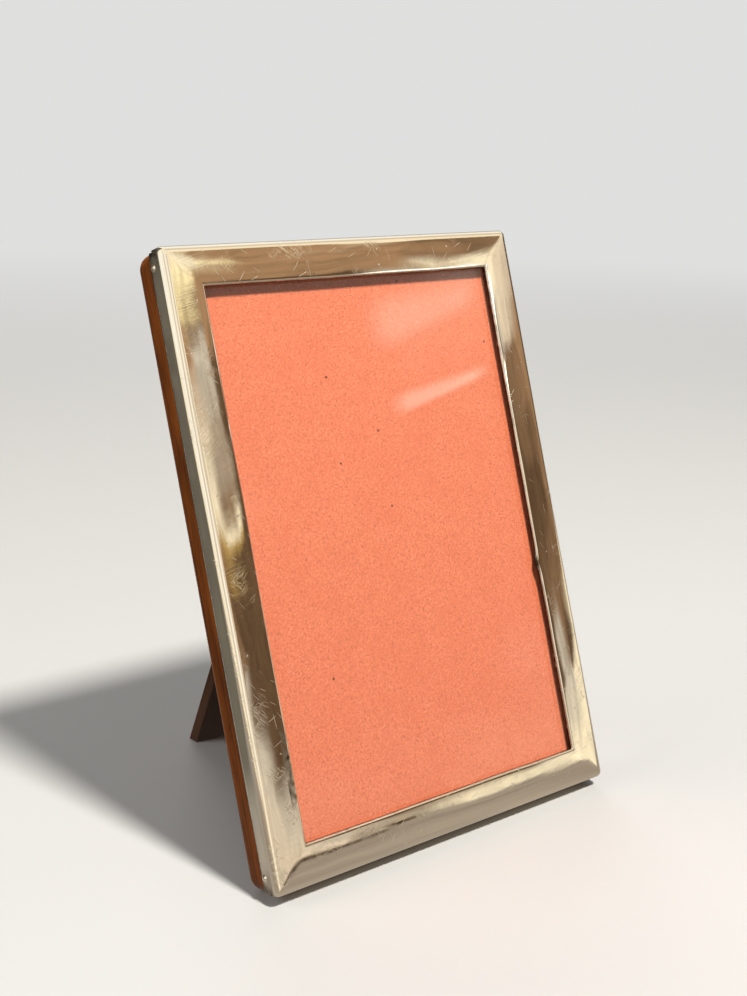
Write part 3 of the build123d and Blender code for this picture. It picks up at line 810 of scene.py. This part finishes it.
wall_material, tree, _ = new_material("wall")
place = mapped(tree)
height = maths(tree, "DIVIDE", add(tree, "SeparateXYZ", {"Vector": place}).outputs["Z"], WALL_TOP)
cards = painted(tree, place, height, WALL, WALL_TOP, WALL_RIPPLE)
glow = add(tree, "Emission", {"Color": cards, "Strength": 1.0})
tree.links.new(glow.outputs[0], tree.nodes["Material Output"].inputs["Surface"])
mirrored_only("wall", round_wall(), wall_material)


AIM = Vector((0, 0, 0.07))


def lamp(name, place, size, power, colour):
    """A soft round lamp that points at the frame and shows in no mirror."""
    light = bpy.data.lights.new(name, "AREA")
    light.shape, light.size, light.energy, light.color = "DISK", size, power, colour
    obj = bpy.data.objects.new(name, light)
    bpy.context.scene.collection.objects.link(obj)
    obj.location = place
    obj.rotation_mode = "QUATERNION"
    obj.rotation_quaternion = (AIM - Vector(place)).to_track_quat("-Z", "Y")
    obj.visible_glossy = False


lamp("key", place=(0.104, -0.743, 1.37), size=0.2, power=31, colour=(1.0, 0.97, 0.92))
lamp("side", place=(-1.0, 0.3, 0.6), size=0.9, power=5.5, colour=(1.0, 0.98, 0.95))
lamp("back", place=(0.6, 1.1, 0.9), size=0.9, power=6, colour=(1.0, 1.0, 1.0))


# Camera, at the photograph's viewing point

PICTURE_WIDTH, PICTURE_HEIGHT, SENSOR = 747, 996, 36
EYE, FOCAL = Vector((-0.21314, -0.28055, 0.17624)), 1415.7  # the focal length is in pixels of the picture
YAW, PITCH, ROLL = (math.radians(a) for a in (38.226, 15.475, 1.322))
forward = Vector((math.sin(YAW) * math.cos(PITCH), math.cos(YAW) * math.cos(PITCH), -math.sin(PITCH)))
level = Vector((math.cos(YAW), -math.sin(YAW), 0))
upward = level.cross(forward)
right = math.cos(ROLL) * level + math.sin(ROLL) * upward
top = -math.sin(ROLL) * level + math.cos(ROLL) * upward
camera = bpy.data.objects.new("camera", bpy.data.cameras.new("camera"))
bpy.context.scene.collection.objects.link(camera)
camera.data.sensor_width = SENSOR
camera.data.lens = FOCAL / PICTURE_HEIGHT * SENSOR
camera.data.clip_start, camera.data.clip_end = 0.01, 50
camera.matrix_world = Matrix.Translation(EYE) @ Matrix((right, top, -forward)).transposed().to_4x4()
bpy.context.scene.camera = camera
bpy.context.scene.view_settings.view_transform = "Standard"


# Two soft bright bars mirrored in the glass, given by their corners in the picture

GLASS_POINT = STAND @ Vector((0, GLASS_FRONT, HEIGHT / 2))
GLASS_NORMAL = (STAND.to_3x3() @ Vector((0, -1, 0))).normalized()
UPPER_BAR = ((366, 368), (486, 308), (486, 258), (350, 290))
LOWER_BAR = ((388, 424), (494, 375), (494, 357), (384, 394))
UPPER_STRENGTH, LOWER_STRENGTH = 3.0, 4.5
BAR_COLOUR, BAR_DISTANCE = (1.0, 0.93, 0.82, 1), 0.05
BAR_FADE = {"X": 0.25, "Y": 0.45}  # share of the bar, from each side, over which its glow fades


def mirrored_point(column, row, distance):
    """Where the view through a pixel of the picture goes once the glass has mirrored it."""
    across, up = column - PICTURE_WIDTH / 2, PICTURE_HEIGHT / 2 - row
    ray = (forward * FOCAL + right * across + top * up).normalized()
    reach = (GLASS_POINT - EYE).dot(GLASS_NORMAL) / ray.dot(GLASS_NORMAL)
    return EYE + reach * ray + distance * ray.reflect(GLASS_NORMAL)


def bar_glow(name, strength):
    """Glow that fades out towards the edges of a four-cornered card."""
    material, tree, _ = new_material(name)
    across = add(tree, "SeparateXYZ", {"Vector": add(tree, "UVMap").outputs["UV"]}).outputs
    fade = 1.0
    for axis, soft in BAR_FADE.items():
        middle = maths(tree, "ABSOLUTE", maths(tree, "SUBTRACT", across[axis], 0.5))
        fade = maths(tree, "MULTIPLY", fade, ramp(tree, middle, [(0.5 - soft, 1.0), (0.5, 0.0)], smooth=True))
    glow = add(tree, "Emission", {"Color": BAR_COLOUR, "Strength": strength})
    clear = add(tree, "BsdfTransparent")
    shown = add(tree, "MixShader", {0: fade, 1: clear.outputs[0], 2: glow.outputs[0]})
    tree.links.new(shown.outputs[0], tree.nodes["Material Output"].inputs["Surface"])
    return material


BARS = (("upper_bar", UPPER_BAR, UPPER_STRENGTH), ("lower_bar", LOWER_BAR, LOWER_STRENGTH))
for name, corners, strength in BARS:
    bar = bpy.data.meshes.new(name)
    bar.from_pydata([mirrored_point(*corner, BAR_DISTANCE) for corner in corners], [], [(0, 1, 2, 3)])
    for loop, place in zip(bar.uv_layers.new(name="UVMap").data, ((0, 0), (1, 0), (1, 1), (0, 1))):
        loop.uv = place
    mirrored_only(name, bar, bar_glow(name, strength))
